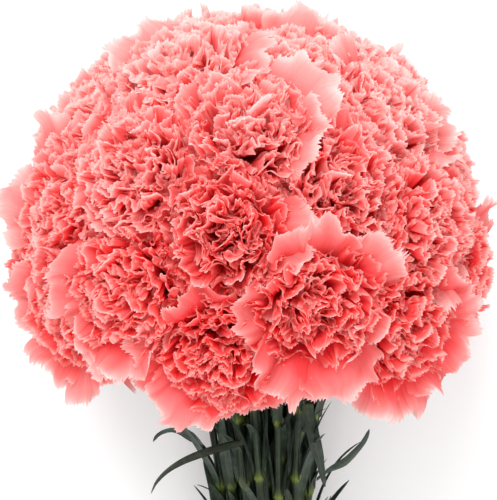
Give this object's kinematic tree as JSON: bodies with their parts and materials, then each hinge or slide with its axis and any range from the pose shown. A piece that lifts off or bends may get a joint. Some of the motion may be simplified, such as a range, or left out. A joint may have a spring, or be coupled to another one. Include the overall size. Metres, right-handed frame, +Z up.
{
  "type": "bunch of cut carnations",
  "caption": "Bunch of cut coral-pink carnations, held by a rubber band and lying on its side, with a dome of ruffled heads, green stems and narrow leaves.",
  "frame": {"origin": "on the table, under the middle of the bounding box of the laid bunch", "axes": "+Z up from the table; +Y along the laid bunch from the cut ends towards the flowers; +X across it"},
  "size_m": [0.2622, 0.5354, 0.2044],
  "materials": {
    "coral_petal": "matte, thin, translucent, paler at the toothed edge",
    "carnation_stem": "satin green with a waxy bloom",
    "carnation_leaf": "matte grey-green with a waxy bloom",
    "rubber_band": "matte natural rubber"
  },
  "bodies": {
    "root": {"flower_head_01": "coral_petal", "flower_head_02": "coral_petal", "flower_head_03": "coral_petal", "flower_head_04": "coral_petal", "flower_head_05": "coral_petal", "flower_head_06": "coral_petal", "flower_head_07": "coral_petal", "flower_head_08": "coral_petal", "flower_head_09": "coral_petal", "flower_head_10": "coral_petal", "flower_head_11": "coral_petal", "flower_head_12": "coral_petal", "flower_head_13": "coral_petal", "flower_head_14": "coral_petal", "flower_head_15": "coral_petal", "flower_head_16": "coral_petal", "flower_head_17": "coral_petal", "flower_head_18": "coral_petal", "flower_head_19": "coral_petal", "flower_head_20": "coral_petal", "flower_head_21": "coral_petal", "flower_head_22": "coral_petal", "flower_head_23": "coral_petal", "flower_head_24": "coral_petal", "flower_head_25": "coral_petal", "flower_head_26": "coral_petal", "flower_head_27": "coral_petal", "stem_and_calyx_01": "carnation_stem", "stem_and_calyx_02": "carnation_stem", "stem_and_calyx_03": "carnation_stem", "stem_and_calyx_04": "carnation_stem", "stem_and_calyx_05": "carnation_stem", "stem_and_calyx_06": "carnation_stem", "stem_and_calyx_07": "carnation_stem", "stem_and_calyx_08": "carnation_stem", "stem_and_calyx_09": "carnation_stem", "stem_and_calyx_10": "carnation_stem", "stem_and_calyx_11": "carnation_stem", "stem_and_calyx_12": "carnation_stem", "stem_and_calyx_13": "carnation_stem", "stem_and_calyx_14": "carnation_stem", "stem_and_calyx_15": "carnation_stem", "stem_and_calyx_16": "carnation_stem", "stem_and_calyx_17": "carnation_stem", "stem_and_calyx_18": "carnation_stem", "stem_and_calyx_19": "carnation_stem", "stem_and_calyx_20": "carnation_stem", "stem_and_calyx_21": "carnation_stem", "stem_and_calyx_22": "carnation_stem", "stem_and_calyx_23": "carnation_stem", "stem_and_calyx_24": "carnation_stem", "stem_and_calyx_25": "carnation_stem", "stem_and_calyx_26": "carnation_stem", "stem_and_calyx_27": "carnation_stem", "leaf_01": "carnation_leaf", "leaf_02": "carnation_leaf", "leaf_03": "carnation_leaf", "leaf_04": "carnation_leaf", "leaf_05": "carnation_leaf", "rubber_band": "rubber_band"}
  },
  "joints": []
}
